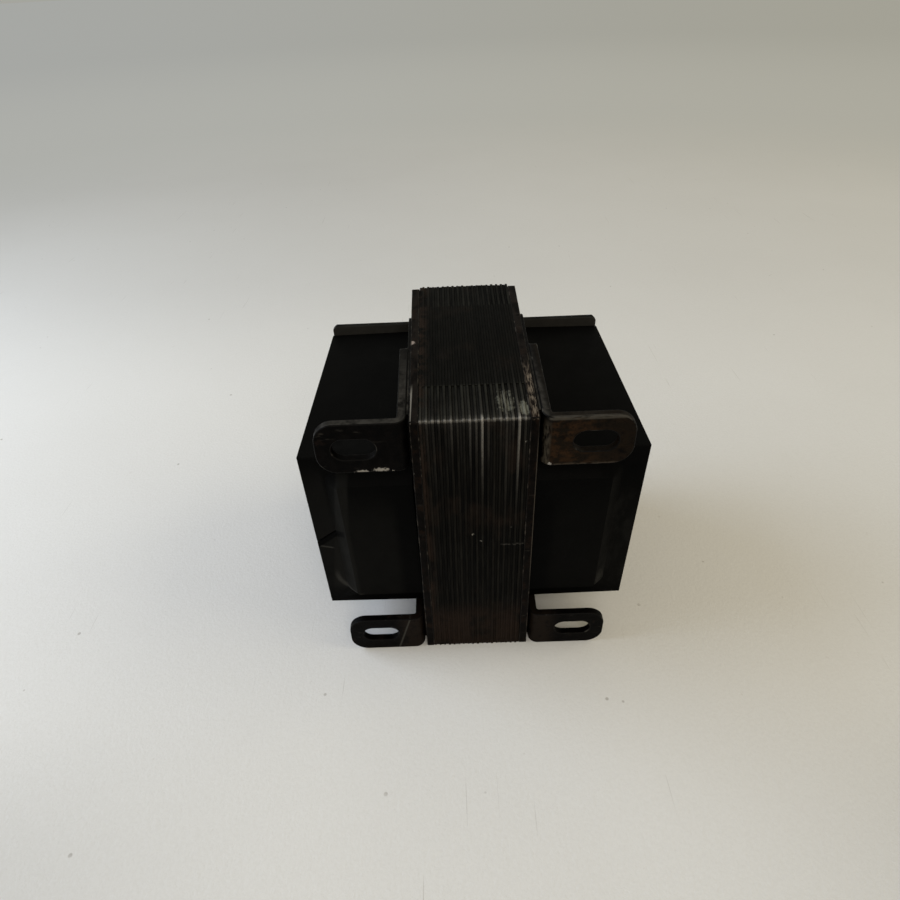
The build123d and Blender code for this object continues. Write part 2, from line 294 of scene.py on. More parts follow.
def lamination_material():
    """Cut sheet edges: dark varnish with painted shade on top, rubbed to grey steel by amounts stored on the
    mesh.
    """
    p = Paint("varnished_sheet_edges", specular=0.03)
    tone = p.attribute("tone")
    wear = p.attribute("wear")
    streaks = p.noise(0.5, (0.5, 7, 7))
    fine = p.noise(0.3, (1, 2, 2), detail=2)
    patches = p.noise(6.0, (1, 1, 1.8), shift=7.0)
    upward = p.band(p.facing("Z"), 0.3, 0.9)

    # Varnish: painted shade makes the top darkest between the joints of the sheets, with a dusty film outside
    # them
    dark = p.mix(tone, SHEET_DARK, SHEET_TONED)
    dark = p.mix(p.product(p.band(streaks, 0.40, 0.70), tone), dark, SHEET_STREAKS)
    near_end = p.band(p.y, front_joint + 0.6, front_joint - 0.4)
    far_end = p.band(p.y, back_joint - 0.2, back_joint + 0.4)
    ends = p.most(near_end, p.product(far_end, 0.5))
    dark = p.mix(p.product(upward, p.math("SUBTRACT", 1.0, ends), 0.62), dark, SHEET_TOP_SHADE)
    film = p.product(upward, p.spread(p.band(patches, 0.36, 0.62), 0.35, 1.0), ends)
    dark = p.mix(p.product(film, tone, 0.50), dark, SHEET_FILM)

    # Rust: scattered, along the bottom and beside the left frame
    low = p.product(p.band(p.z, 20.0, 11.0), p.band(p.noise(4.0), 0.25, 0.5))
    rust = p.most(p.product(p.band(p.noise(9.0, (1, 1, 1.6)), 0.54, 0.68), p.spread(upward, 0.45, 0.16)),
                  p.product(low, 0.85),
                  p.product(p.band(p.x, -8.6, -11.4), p.band(p.noise(3.0, (1, 1, 2)), 0.40, 0.6)))
    rusted = p.mix(rust, dark, p.mix(p.noise(1.3), *SHEET_RUST))

    # Rubbed ridges, pale dust on top, specks and one fine line across the front
    worn = p.mix(p.product(wear, p.spread(streaks, 0.45, 1.35)), rusted, p.mix(fine, *BARE_STEEL))
    lines = p.band(p.noise(0.5, (0.6, 9, 1), shift=29.0), 0.38, 0.60)
    dust = p.most(p.product(p.spot((10.4, -30.6, height), 1.5, 0.8, (0.9, 1.9, 1)),
                            p.spread(lines, 0.45, 1.0)),
                  p.product(p.spot((6.6, -28.0, height), 2.0, 0.8, (1, 2.4, 1)), lines, 0.7))
    worn = p.mix(p.product(dust, 0.62), worn, SHEET_DUST)
    specks = p.most(p.spot((-0.6, front_y, 43.6), 0.36), p.spot((1.2, front_y, 41.2), 0.36),
                    p.spot((10.5, front_y, 70.2), 0.34), p.spot((8.2, front_y, 45.5), 0.26))
    worn = p.mix(specks, worn, SHEET_SPECKS)
    line = p.product(p.line(p.z, 39.8, 0.28, 0.05), p.band(p.x, 5.4, 6.6), p.band(p.noise(1.1), 0.3, 0.5))
    worn = p.mix(p.product(line, 0.7), worn, SHEET_LINE)

    rough = p.spread(p.noise(1.6, (1, 2, 2), shift=3.0), 0.36, 0.62)
    return p.finish(worn, rough, p.total(fine, p.product(streaks, 0.6)), 0.03)


def steel_material(name, base, rust_colour, rust_low, rust_high, patches):
    """Varnished steel with rust, scuffs and patches, each a share, a colour and how strongly it covers."""
    p = Paint(name, specular=0.03)
    patches = patches(p)
    mottled = p.mix(p.band(p.noise(1.8), 0.3, 0.7), times(base, 0.5), times(base, 1.9))
    blotches = p.band(p.noise(4.0, detail=5, shift=11.0), rust_low, rust_high)
    rusted = p.mix(p.noise(0.8, (2, 1, 1), shift=5.0), times(rust_colour, 0.55), rust_colour)
    colour = p.mix(blotches, mottled, rusted)
    scuffs = p.product(p.band(p.noise(0.9, (4, 1, 1), detail=5, shift=2.0), 0.60, 0.70),
                       p.band(p.noise(6.0, shift=4.0), 0.45, 0.6))
    colour = p.mix(p.product(scuffs, 0.5), colour, SCUFFS)
    for share, patch_colour, strength in patches:
        colour = p.mix(p.product(share, strength), colour, patch_colour)
    rough = p.spread(p.noise(1.8, shift=9.0), 0.38, 0.66)
    return p.finish(colour, rough, p.total(p.noise(0.5, detail=4), p.product(blotches, 0.6)), 0.07)


def frame_patches(p):
    """Grey top, the worn outer corner of the left frame, streaks on the right one, and two weld marks."""
    top = p.band(p.z, height - 0.8, height - 0.2)
    pale = p.product(top, p.band(p.noise(1.6, (1, 5, 1), detail=4, shift=1.0), 0.36, 0.58))
    corner = p.product(top, p.band(p.y, -20.0, -25.0), p.line(p.x, -12.75, 0.27, 0.10))
    streaks = p.product(top, p.band(p.y, -11.0, -19.0), p.band(p.x, 11.2, 12.0),
                        p.band(p.noise(0.28, (1, 9, 1), shift=3.0), 0.44, 0.60))
    chip = p.spot((-13.1, front_y, 62.6), 0.8, 0.8, (0.5, 1, 1.6))
    welds = p.most(p.spot((-13.6, -2.4, height), 1.2, 0.5),
                   p.spot((13.8, -18.6, height), 1.1, 0.5, (0.8, 1.4, 1)))
    return ((pale, FRAME_TOP, 0.7), (corner, FRAME_CORNER, 0.80), (streaks, FRAME_STREAKS, 0.8),
            (chip, FRAME_CHIP, 0.95), (welds, FRAME_WELDS, 1.0))


def foot_patches(p):
    """Grey top edges, rust, and the chips and scratches seen on each tab."""
    on_right = p.band(p.x, 14.2, 15.2)
    grey = p.product(p.band(p.facing("Z"), 0.6, 0.9), p.band(p.z, height - 1.4, height - 0.4),
                     p.spread(p.band(p.y, -2.0, -26.0), 0.12, 1.0),
                     p.band(p.noise(0.9, (3, 3, 1), detail=5, shift=6.0), 0.26, 0.62),
                     p.spread(on_right, 1.0, 0.22))
    front_line = p.product(on_right, p.band(p.z, height - 1.0, height - 0.5),
                           p.band(p.y, feet_y + 0.6, feet_y + 0.3),
                           p.band(p.noise(0.9, (4, 1, 1)), 0.30, 0.55))

    # The upper right tab is brown with orange rust towards the core
    right_tab = p.product(p.band(p.x, 14.5, 16.0), p.band(p.z, 52.0, 60.0))
    brown = p.product(right_tab, p.band(p.noise(1.8, (1.6, 1, 1), detail=4), 0.25, 0.50))
    orange = p.product(right_tab, p.spread(p.band(p.x, 28.0, 20.0), 0.15, 1.0),
                       p.band(p.facing("Z"), 0.6, 0.2),
                       p.band(p.noise(1.5, (1.5, 1, 1), detail=8, shift=6.0), 0.40, 0.62))
    speckle = p.product(right_tab, p.band(p.noise(0.5, detail=3, shift=21.0), 0.56, 0.66))
    lower_lip = p.product(p.between(p.z, 50.0, 60.0, 64.0, 64.8), p.band(p.x, 15.0, 17.0),
                          p.band(p.noise(0.9, (3, 1, 1), shift=9.0), 0.40, 0.55))
    left_side = p.product(p.between(p.x, 13.6, 14.2, 14.9, 15.6), p.between(p.z, 61.0, 64.0, 73.0, 76.0),
                          p.band(p.y, -30.5, -32.5),
                          p.band(p.noise(0.8, (1, 1, 3), shift=4.0), 0.35, 0.60))

    # The lower tabs, with a slanted scratch on the left one
    low_tab = p.product(p.band(p.z, 13.0, 12.0), p.band(p.math("ABSOLUTE", p.x), 22.0, 18.0),
                        p.band(p.noise(2.0), 0.25, 0.50))
    slanted = p.total(p.x, p.product(p.z, -0.30))
    scratch = p.product(p.line(slanted, -21.2, 0.34, 0.14), p.band(p.z, 12.6, 12.0),
                        p.band(p.x, -14.0, -16.0))

    chips = p.most(p.spot((-23.4, feet_y, 63.9), 1.15, 1.0, (1.4, 1, 0.7)),
                   p.spot((-19.4, feet_y, 64.4), 1.05, 1.1, (1.6, 1, 0.7)),
                   p.spot((-21.8, feet_y, 68.5), 0.5, 0.9), p.spot((-17.0, feet_y, 63.9), 0.35, 0.7),
                   p.spot((15.5, feet_y, 64.2), 0.5, 1.0, (0.8, 1, 1.2)))
    return ((brown, TAB_BROWN, 0.9), (orange, TAB_RUST, 0.60), (speckle, TAB_SPECKLE, 0.75),
            (left_side, LEG_SIDE, 0.6), (low_tab, LOW_TAB, 0.85), (grey, FOOT_TOP, 0.9),
            (front_line, FRONT_LINE, 0.6), (lower_lip, LOWER_LIP, 0.7), (scratch, FOOT_SCRATCH, 0.7),
            (chips, FOOT_CHIPS, 0.95))


def worn_edge_material(name, bare, dark, low, high, more):
    """Edges where the varnish has rubbed off in places, and all along the edge that more gives."""
    p = Paint(name, specular=0.06)
    rubbed = p.most(p.band(p.noise(1.2, (2, 2, 2), detail=5, shift=13.0), low, high), more(p))
    colour = p.mix(rubbed, dark, p.mix(p.noise(0.5), bare, times(bare, 0.5)))
    return p.finish(colour, p.spread(p.noise(1.0), 0.35, 0.55), p.noise(0.4), 0.03)


def right_front_edge(p):
    """The right frame's outer edge on the front."""
    return p.product(p.band(p.x, 12.5, 12.7), p.band(p.facing("Y"), -0.15, -0.4),
                     p.between(p.z, 24.0, 32.0, 66.0, 74.0), p.band(p.noise(1.2, (1, 1, 4)), 0.25, 0.45))


def right_tab_edge(p):
    """The upper right foot's top edge on the front."""
    return p.product(p.band(p.x, 15.0, 16.0), p.band(p.z, height - 1.6, height - 1.0),
                     p.band(p.facing("Y"), -0.15, -0.4), p.band(p.noise(0.9, (4, 1, 1)), 0.28, 0.50))


def plastic_material(name, base, dust_colour, dust, front_dust_top_shade=0.0, patches=None):
    """Black moulding with a dusty film, fine scuffs and patches of dust, painted shade and painted highlight,
    each a share and how pale it is.
    """
    p = Paint(name, specular=0.02)
    patches = patches(p) if patches else ()
    film = p.band(p.noise(11.0, detail=4), 0.38, 0.68)
    grains = p.band(p.noise(0.55, detail=2, shift=8.0), 0.64, 0.74)
    upward = p.band(p.facing("Z"), 0.2, 0.95)
    forward = p.band(p.facing("Y"), -0.2, -0.95)
    # The veil settles on the tops; a front share moves it onto the front faces and keeps the tops darker as
    # painted shade
    veil = p.total(p.product(film, 0.35), p.product(upward, 0.65 * (1 - front_dust_top_shade)),
                   p.product(forward, front_dust_top_shade))
    colour = p.mix(p.product(veil, dust), base, dust_colour)
    for share, paleness in patches:
        colour = p.mix(share, colour, times(DUST_TINT, paleness))
    pale = times(dust_colour, 2.5)
    colour = p.mix(p.product(grains, film, 0.28), colour, pale)
    scratch = p.product(p.band(p.noise(0.5, (1, 6, 14), detail=2, shift=3.0), 0.70, 0.76),
                        p.band(p.noise(14.0, shift=5.0), 0.48, 0.62))
    colour = p.mix(p.product(scratch, 0.35), colour, pale)
    rough = p.spread(p.noise(4.0, shift=6.0), 0.40, 0.60)
    return p.finish(colour, rough, p.total(p.noise(0.28, detail=2), p.product(p.noise(5.0), 1.5)), 0.03)


def cover_patches(p):
    """Dust on the covers, brightest on the left one's slope, with a dark line of painted shade along the cut
    in its rim.
    """
    soft = p.spread(p.noise(3.0, (1, 1, 2), detail=4, shift=12.0), 0.35, 1.15)
    front = p.band(p.facing("Y"), -0.2, -0.6)
    # Dust on the pads fades out upwards and towards the core, leaving the black there as painted shade under
    # the tabs
    lower = p.product(p.between(p.z, 15.0, 21.0, 44.0, 57.0), front, soft)

    # Left cover: pad, rim, and the slope between the pad's edge and the rim
    pad = p.product(p.band(p.x, -17.0, -20.0), lower)
    rim = p.product(p.band(p.x, -33.6, -34.6), p.between(p.z, 24.0, 34.0, 54.0, 62.0), front, soft)
    outer_edge = p.total(p.x, 31.0, p.ramp(p.z, -0.168, 57.3))
    inner_edge = p.math("SUBTRACT", p.total(p.x, 29.6), p.most(0.0, p.ramp(p.z, 0.113, 43.8)))
    slope = p.product(p.band(outer_edge, -0.2, 0.6), p.band(inner_edge, 0.4, -0.3),
                      p.between(p.z, 18.0, 21.0, 57.0, 63.0), front, soft)

    # A painted highlight: the bright curve at the slope's lower end is part of an ellipse
    radius = p.length(p.ramp(p.x, 1 / 4.9, -30.5), p.ramp(p.z, 1 / 5.6, 24.5))
    low_curve_highlight = p.product(p.line(radius, 1.0, 0.20, 0.03), p.band(p.x, -28.4, -30.5),
                          p.band(p.z, 27.0, 22.0), front, p.spread(soft, 0.5, 1.0))

    # Painted shade darkens the cut in the rim and a little past its end, with a bright line under it
    cut_line = p.total(p.z, p.product(p.x, -0.742))
    cut_shade = p.product(p.line(cut_line, 64.25, 1.15, 0.75), p.band(p.x, -30.6, -31.4), front)
    below_line = p.total(p.z, p.ramp(p.x, 0.27, -37.4))
    under_cut = p.product(p.line(below_line, 35.0, 0.40, 0.12), p.band(p.x, -34.4, -35.4), front)
    behind_slot = p.product(p.spot((-25.5, -24.0, 63.3), 6.0, 0.6, (1.1, 0.8, 1)), soft)

    # Right cover: the same, fainter and more broken
    far_pad = p.product(p.band(p.x, 17.0, 20.0), lower)
    # Painted shade: the slope facing the right lamp is kept darker than the pad
    far_slope_shade = p.product(p.between(p.x, 27.6, 28.6, 32.6, 33.6),
                          p.between(p.y, -31.16, -31.06, -28.4, -28.2), front)
    far_rim = p.product(p.band(p.x, 29.0, 34.5), p.between(p.z, 15.0, 20.0, 44.0, 56.0), front,
                        p.band(p.noise(3.2, (1, 1, 2), detail=5, shift=17.0), 0.42, 0.66))
    corner = p.product(p.spot((31.4, -29.0, 21.6), 2.4, 0.9, (1, 1, 1.8)), soft)

    side = p.product(p.band(p.math("ABSOLUTE", p.facing("X")), 0.7, 0.95),
                     p.spread(p.noise(9.0, (1, 2, 1), detail=5, shift=27.0), 0.2, 1.0))
    return ((side, 0.0120), (rim, 0.0060), (pad, 0.0055), (slope, 0.0090), (low_curve_highlight, 0.036),
            (under_cut, 0.030), (cut_shade, 0.0002), (behind_slot, 0.0060), (far_pad, 0.0030), (far_slope_shade, 0.0014),
            (far_rim, 0.0062), (corner, 0.024))


def plain_material(name, base, specular, rough_low, rough_high, size, stretch=(1, 1, 1), metallic=0.0,
                   relief=0.03):
    """Grained material for pieces of one substance."""
    p = Paint(name, metallic=metallic, specular=specular)
    grain = p.noise(size, stretch)
    blotch = p.noise(size * 8, shift=4.0)
    colour = p.mix(grain, times(base, 0.6), base)
    colour = p.mix(p.product(p.band(blotch, 0.45, 0.7), 0.4), colour, times(base, 0.5))
    return p.finish(colour, p.spread(blotch, rough_low, rough_high), grain, relief)


def winding_material():
    """Enamelled copper wire, wound in close turns along the bobbin."""
    p = Paint("enamelled_copper", metallic=1.0)
    turns = p.add("ShaderNodeTexWave", {"Vector": p.place, "Scale": 0.45, "Distortion": 0.4},
                  bands_direction="Y").outputs["Fac"]
    colour = p.mix(turns, WIRE_DARK, WIRE_BRIGHT)
    return p.finish(colour, p.spread(p.noise(2.0), 0.25, 0.42), turns, 0.2)


def seen_directly(tree):
    """1 for rays from the camera, a mirror or glass, 0 for the light that falls on things."""
    rays = tree.nodes.new("ShaderNodeLightPath").outputs
    seen = rays["Is Camera Ray"]
    for ray in ("Is Glossy Ray", "Is Transmission Ray"):
        either = tree.nodes.new("ShaderNodeMath")
        either.operation = "MAXIMUM"
        tree.links.new(seen, either.inputs[0])
        tree.links.new(rays[ray], either.inputs[1])
        seen = either.outputs[0]
    return seen


def floor_material():
    """Pale table with fine grain, specks, scratches and painted shade. Far off it turns into a plain pale
    background, a painted glow.
    """
    p = Paint("pale_table", specular=0.2)
    broad = p.noise(60.0, detail=2)
    grain = p.noise(0.8, detail=4, shift=2.0)
    colour = p.mix(broad, *TABLE_PALE)
    fine = p.band(p.noise(0.7, detail=2, shift=31.0), 0.35, 0.70)
    colour = p.mix(p.product(fine, 0.10), colour, TABLE_GRAIN)
    flecks = p.band(p.noise(2.6, detail=3, shift=9.0), 0.72, 0.78)
    colour = p.mix(p.product(flecks, 0.16), colour, TABLE_FLECKS)
    specks = p.product(p.band(p.cells(11.0), 0.055, 0.030), p.band(p.noise(24.0, shift=15.0), 0.47, 0.56))
    scratches = p.product(p.band(p.noise(0.7, (1, 60, 1), detail=1, shift=19.0), 0.74, 0.78),
                          p.band(p.noise(45.0, shift=23.0), 0.50, 0.62))
    colour = p.mix(p.total(p.product(specks, 0.55), p.product(scratches, 0.30)), colour, TABLE_MARKS)

    # Painted shade: a little dimmer behind the object, more so on the left, and in the near corners
    painted_shade_behind = p.product(p.between(p.y, 90.0, 230.0, 420.0, 680.0),
                    p.spread(p.band(p.x, -160.0, 100.0), 0.13, 0.05))
    corners = p.product(p.band(p.math("ABSOLUTE", p.x), 30.0, 120.0), p.band(p.y, -45.0, -90.0), 0.16)
    level = p.math("SUBTRACT", 1.0, p.total(painted_shade_behind, corners))
    colour = p.add("ShaderNodeVectorMath", {0: colour, "Scale": level}, operation="SCALE").outputs[0]
    material = p.finish(colour, p.spread(broad, 0.55, 0.7), grain, 0.10)

    # Far off, rays from the camera see a painted glow in the background's tones
    away = p.length(p.x, p.y)
    across = p.band(p.math("DIVIDE", p.x, p.total(away, 130.0)), -0.75, 0.75)
    tone = p.mix(p.band(away, 700.0, 1800.0), p.mix(across, *NEAR_PAINTED_GLOW), p.mix(across, *FAR_PAINTED_GLOW))
    painted_glow = p.add("ShaderNodeEmission", {"Color": tone, "Strength": 1.0}).outputs[0]
    share = p.product(p.band(away, 420.0, 760.0), seen_directly(p.tree))
    blend = p.add("ShaderNodeMixShader", {0: share, 1: p.shader.outputs[0], 2: painted_glow}).outputs[0]
    output = next(node for node in p.tree.nodes if node.bl_idname == "ShaderNodeOutputMaterial")
    p.tree.links.new(blend, output.inputs["Surface"])
    return material


# Building pieces

def piece(name, mesh_data, replaced, materials):
    """A finished piece of the object, riding on the one body."""
    mesh = bpy.data.meshes.new(name)
    mesh_data.to_mesh(mesh)
    mesh_data.free()
    for material in materials:
        mesh.materials.append(material)
    made = bpy.data.objects.new(name, mesh)
    bpy.context.scene.collection.objects.link(made)
    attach(made, "root")
    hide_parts(*replaced)
    return made


def from_cad(node):
    """The node's surface with its triangles merged into clean faces, in millimetres."""
    mesh_data = bmesh.new()
    mesh_data.from_mesh(nodes[node].data)
    bmesh.ops.scale(mesh_data, vec=Vector((1, 1, 1)) / MM, verts=mesh_data.verts)
    bmesh.ops.remove_doubles(mesh_data, verts=mesh_data.verts, dist=SAME_POINT)
    bmesh.ops.dissolve_limit(mesh_data, angle_limit=math.radians(SAME_FACE), verts=mesh_data.verts,
                             edges=mesh_data.edges)
    bmesh.ops.recalc_face_normals(mesh_data, faces=mesh_data.faces)
    return mesh_data


def fanned(point):
    """A point of the stack, moved sideways as the stack is pressed or opens."""
    back = (point.y - front_y) / depth
    front = FRONT_BOTTOM + (FRONT_TOP - FRONT_BOTTOM) * point.z / height
    open_by = 1 + front * (1 - back) + BACK * back
    return Vector((point.x * open_by, point.y, point.z))


def shade_smoothly(made, angle):
    """Smooth shading, apart from edges sharper than the angle in degrees."""
    for face in made.data.polygons:
        face.use_smooth = True
    made.data.set_sharp_from_angle(angle=math.radians(angle))


def dressed(name, node, materials, rounding, steps=2, fan=False, shape=None,
            edge_material=OWN_MATERIAL, angle=SHARP_ANGLE):
    """A piece with the node's shape and edges rounded in millimetres. With fan it follows the stack."""
    mesh_data = from_cad(node)
    if shape:
        shape(mesh_data)
    for vertex in mesh_data.verts:
        point = fanned(vertex.co) if fan else vertex.co
        vertex.co = point * MM
    made = piece(name, mesh_data, [node], materials)
    shade_smoothly(made, angle)
    bevel = made.modifiers.new("rounded", "BEVEL")
    bevel.width = rounding * MM
    bevel.segments = steps
    bevel.limit_method = "ANGLE"
    bevel.angle_limit = math.radians(angle)
    bevel.harden_normals = True
    bevel.material = edge_material
    return made


# Laminations

def corner_points(kind):
    """Corners of a lamination, as distance from the core's front and height."""
    leg_end = depth - unit
    low, high = height / 2 - unit, height / 2 + unit
    if kind == "E":
        return [(0, 0), (leg_end, 0), (leg_end, unit), (unit, unit), (unit, low), (leg_end, low),
                (leg_end, high), (unit, high), (unit, height - unit), (leg_end, height - unit),
                (leg_end, height), (0, height)]
    return [(leg_end, 0), (depth, 0), (depth, height), (leg_end, height)]


def divided(corners):
    """The outline with extra points along its outer edges."""
    points = []
    for index, (y0, z0) in enumerate(corners):
        y1, z1 = corners[(index + 1) % len(corners)]
        outer = (z0 == z1 and z0 in (0, height)) or (y0 == y1 and y0 in (0, depth))
        length = math.hypot(y1 - y0, z1 - z0)
        count = max(1, round(length / EDGE_STEP)) if outer else 1
        shares = {i / count for i in range(count)}
        if outer:
            shares |= {step / length for step in CORNER_STEPS} | {1 - step / length for step in CORNER_STEPS}
        points += [(y0 + (y1 - y0) * share, z0 + (z1 - z0) * share) for share in sorted(shares)]
    return points


def drawn_insets(dice, kind, faces_front):
    """How far one sheet lies back at its top, bottom and end."""
    inset_range = CLOSER_INSET if kind == "I" else LEG_INSET
    insets = {"top": dice.uniform(*inset_range), "bottom": dice.uniform(*BOTTOM_INSET),
              "end": dice.uniform(*inset_range)}
    if not faces_front:
        insets["end"] = dice.uniform(*BACK_INSET)
    return insets


def edge_place(kind, index, insets, retreat, y, z):
    """A point of the outline, drawn back by the sheet's insets, the edge's profile and an uneven cut."""
    ragged = RAGGED_CUT * noise.noise(Vector((index * CUT_DRIFT, y * CUT_PER_MM, z * CUT_PER_MM)))
    inward_y = inward_z = 0.0
    if y < ON_OUTLINE or y > depth - ON_OUTLINE:
        inward_y = insets["end"] + retreat + ragged
    if z > height - ON_OUTLINE:
        inward_z = insets["top"] + retreat + ragged
    elif z < ON_OUTLINE:
        inward_z = insets["bottom"] + retreat
    place_y = y + math.copysign(inward_y, depth / 2 - y)
    place_z = z + math.copysign(inward_z, height / 2 - z)
    if kind == "I" and abs(y - (depth - unit)) < ON_OUTLINE:
        place_y += JOINT_GAP
    return place_y, place_z


def edge_wear(y, z, rubbed, reach, on_top, rubbing):
    """How far a sheet's varnish has worn off at a point of its edge: most along the front of the top."""
    down = height - z
    corner = CORNER_WEAR * math.exp(-(math.hypot(y, down) / CORNER_REACH) ** 2)
    front = rubbed * math.exp(-(down / reach) ** 2) if y < FRONT_FACE else 0.0
    top = 0.0
    if down < TOP_FACE:
        top = ((TOP_WEAR + TOP_SHARE * rubbed) * math.exp(-y / TOP_REACH)
               + on_top * math.exp(-y / RUBBED_TOP_REACH))
    return corner + (front + top) * rubbing


def skin(mesh_data, rings):
    """Joins rings of points into a closed skin with flat ends."""
    count = len(rings[0])
    for lower, upper in zip(rings, rings[1:]):
        for i in range(count):
            j = (i + 1) % count
            mesh_data.faces.new((lower[i], lower[j], upper[j], upper[i]))
    mesh_data.faces.new(rings[0][::-1])
    mesh_data.faces.new(rings[-1])


def laminations(kind, turned, name, seed):
    """Every second sheet of the stack, each with its own small offsets and rubbed edges."""
    dice = random.Random(seed)
    mesh_data = bmesh.new()
    tone_layer = mesh_data.verts.layers.float.new("tone")
    wear_layer = mesh_data.verts.layers.float.new("wear")
    outline = divided(corner_points(kind))
    faces_front = (kind == "E") != turned
    for index in range(int(turned), layers, 2):
        insets = drawn_insets(dice, kind, faces_front)
        tone = dice.uniform(*(LEG_TONE if kind == "E" else CLOSER_TONE))
        other = (dice.uniform(*OTHER_RUBBING), dice.uniform(*OTHER_REACH), 0.0)
        rubbed, reach, on_top = RUBBED.get(index, other)
        rings = []
        for share, retreat, rubbing in EDGE_PROFILE:
            ring = []
            for outline_y, outline_z in outline:
                y, z = edge_place(kind, index, insets, retreat, outline_y, outline_z)
                if turned:
                    y = depth - y
                x = -stack_half + sheet * (index + share)
                bend_at = Vector((x * BEND_ACROSS_PER_MM, y * BEND_ALONG_PER_MM,
                                  outline_z * BEND_ALONG_PER_MM))
                x += SIDEWAYS_BEND * noise.noise(bend_at)
                vertex = mesh_data.verts.new(fanned(Vector((x, front_y + y, z))) * MM)
                tone_at = Vector((index * TONE_DRIFT, y * TONE_PER_MM, outline_z * TONE_PER_MM))
                shade = TONE_VARIES * noise.noise(tone_at)
                vertex[tone_layer] = (tone + shade) * rubbing
                vertex[wear_layer] = edge_wear(y, z, rubbed, reach, on_top, rubbing)
                ring.append(vertex)
            rings.append(ring)
        skin(mesh_data, rings)
    bmesh.ops.recalc_face_normals(mesh_data, faces=mesh_data.faces)
    made = piece(name + "_sheets", mesh_data, [name], [sheet_edges])
    shade_smoothly(made, SHEET_SHARP_ANGLE)
    return made


# Weld beads

def lumpy_weld(mesh_data):
    """Divides the bead and raises uneven ripples along it."""
    bmesh.ops.subdivide_edges(mesh_data, edges=mesh_data.edges, cuts=WELD_CUTS, use_grid_fill=True)
    bmesh.ops.triangulate(mesh_data, faces=[f for f in mesh_data.faces if len(f.verts) > 4])
    noise.seed_set(WELD_SEED)
    for vertex in mesh_data.verts:
        lump = noise.noise_vector(vertex.co * LUMPS_PER_MM) * LUMP_HEIGHT
        ripple = RIPPLE_HEIGHT * math.sin(vertex.co.z * RIPPLE_RATE)
        outward = Vector((math.copysign(ripple, vertex.co.x), ripple, 0))
        vertex.co += lump + outward


sheet_edges = lamination_material()
frame_steel = steel_material("rusted_frame_steel", (0.0019, 0.0013, 0.0010), (0.0130, 0.0068, 0.0040),
                             0.50, 0.66, frame_patches)
foot_steel = steel_material("varnished_foot_steel", (0.0012, 0.0009, 0.0008), (0.0100, 0.0060, 0.0045),
                            0.60, 0.72, foot_patches)
foot_edges = worn_edge_material("rubbed_foot_edges", (0.075, 0.069, 0.058), (0.0035, 0.0030, 0.0026),
                                0.56, 0.72, right_tab_edge)
frame_edges = worn_edge_material("rubbed_frame_edges", (0.060, 0.050, 0.040), (0.0040, 0.0030, 0.0024),
                                 0.48, 0.66, right_front_edge)
cover_plastic = plastic_material("satin_black_cover", (0.0009, 0.0009, 0.0008), (0.0052, 0.0049, 0.0044),
                                 dust=0.5, patches=cover_patches)
board_plastic = plastic_material("satin_black_board", (0.0030, 0.0028, 0.0025), (0.034, 0.032, 0.028),
                                 dust=0.9, front_dust_top_shade=0.8)
weld_metal = plain_material("weld_bead", (0.028, 0.022, 0.018), 0.08, 0.35, 0.55, 0.5, relief=0.1)
brass = plain_material("dull_brass", (0.42, 0.30, 0.13), 0.5, 0.32, 0.5, 0.7, (3, 1, 3), metallic=1.0)
zinc = plain_material("dull_screw_steel", (0.36, 0.35, 0.33), 0.5, 0.30, 0.48, 0.6, metallic=1.0)

laminations("E", False, "e_laminations_front", seed=11)
laminations("I", False, "i_laminations_back", seed=12)
laminations("E", True, "e_laminations_back", seed=13)
laminations("I", True, "i_laminations_front", seed=14)
for side in ("left", "right"):
    dressed(side + "_end_frame", side + "_end_plate", [frame_steel, frame_edges],
            rounding=0.25, fan=True, edge_material=SECOND_MATERIAL)
    dressed(side + "_cover_shell", side + "_coil_cover", [cover_plastic],
            rounding=0.35, steps=3)
    dressed(side + "_board_moulding", side + "_terminal_board", [board_plastic],
            rounding=0.22)
    for level in ("upper", "lower"):
        foot = level + "_" + side + "_foot"
        dressed(foot + "_steel", foot, [foot_steel, foot_edges],
                rounding=0.22, steps=3, fan=True, edge_material=SECOND_MATERIAL)
dressed("foot_strip_steel", "foot_strips", [foot_steel, foot_edges],
        rounding=0.12, fan=True, edge_material=SECOND_MATERIAL)
dressed("foot_weld_beads", "foot_welds", [weld_metal],
        rounding=0.02, steps=1, fan=True, shape=lumpy_weld, angle=WELD_SHARP_ANGLE)
dressed("clamp_plates", "terminal_plates", [brass], rounding=0.15)
dressed("clamp_screws", "terminal_screws", [zinc], rounding=0.22, steps=3)

# Inner pieces keep their CAD shape and get a material
INNER = (
    (plain_material("moulded_nylon", (0.55, 0.50, 0.38), 0.4, 0.4, 0.6, 0.6), ("bobbin",)),
    (plain_material("varnished_paper", (0.42, 0.30, 0.16), 0.3, 0.5, 0.7, 0.5, (1, 8, 1)),
     ("winding_insulation", "outer_wrap")),
    (plain_material("pressed_fibre", (0.24, 0.12, 0.06), 0.3, 0.5, 0.7, 0.4, (6, 6, 1)), ("coil_wedges",)),
    (plain_material("cast_resin", (0.010, 0.009, 0.008), 0.4, 0.25, 0.45, 3.0),
     ("left_resin_fill", "right_resin_fill")),
    (brass, ("terminal_inserts",)),
    (plain_material("lead_sleeve", (0.03, 0.03, 0.03), 0.3, 0.45, 0.65, 0.5),
     ("primary_leads", "secondary_leads")),
    (winding_material(), ("primary_winding", "secondary_winding")),
)
for material, names in INNER:
    for name in names:
        for holder in nodes[name].material_slots:
            holder.material = material


# Floor: a flat table that reaches as far as the camera sees

FLOOR_RADIUS = 8.0
FLOOR_SIDES = 96

floor_shape = bmesh.new()
bmesh.ops.create_circle(floor_shape, cap_ends=True, segments=FLOOR_SIDES, radius=FLOOR_RADIUS)
floor_mesh = bpy.data.meshes.new("floor")
floor_shape.to_mesh(floor_mesh)
floor_shape.free()
floor_mesh.materials.append(floor_material())
floor = bpy.data.objects.new("floor", floor_mesh)
bpy.context.scene.collection.objects.link(floor)


# Light: name, place, aim, size in metres, colour and power in watts

